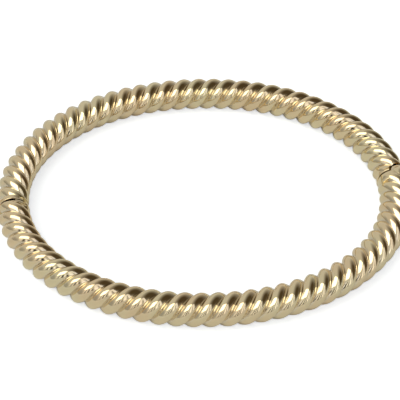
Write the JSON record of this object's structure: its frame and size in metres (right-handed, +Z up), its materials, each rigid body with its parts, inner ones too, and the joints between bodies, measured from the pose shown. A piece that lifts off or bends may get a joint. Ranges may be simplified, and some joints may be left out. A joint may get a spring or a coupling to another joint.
{
  "type": "twisted wire hinged bangle",
  "caption": "Oval hinged bangle of gold wires twisted together, in two halves that open at a hinge pin and shut on a spring tongue.",
  "frame": {"origin": "on the surface that the bangle lies on, under the middle of the oval", "axes": "+X along the oval's long way towards the hinge, +Y towards the back half, +Z up out of the surface"},
  "size_m": [0.0686, 0.0588, 0.0054],
  "materials": {
    "gold": "polished"
  },
  "bodies": {
    "front": {"front_half": "gold", "hinge_pin": "gold"},
    "back": {"back_half": "gold", "clasp_tongue": "gold"}
  },
  "joints": [
    {"name": "bangle_hinge", "type": "hinge", "parent": "front", "child": "back", "pos_m": [0.03267, 0.00121, 0.00268], "axis": [0, 0, -1], "range_deg": [0, 50]}
  ]
}
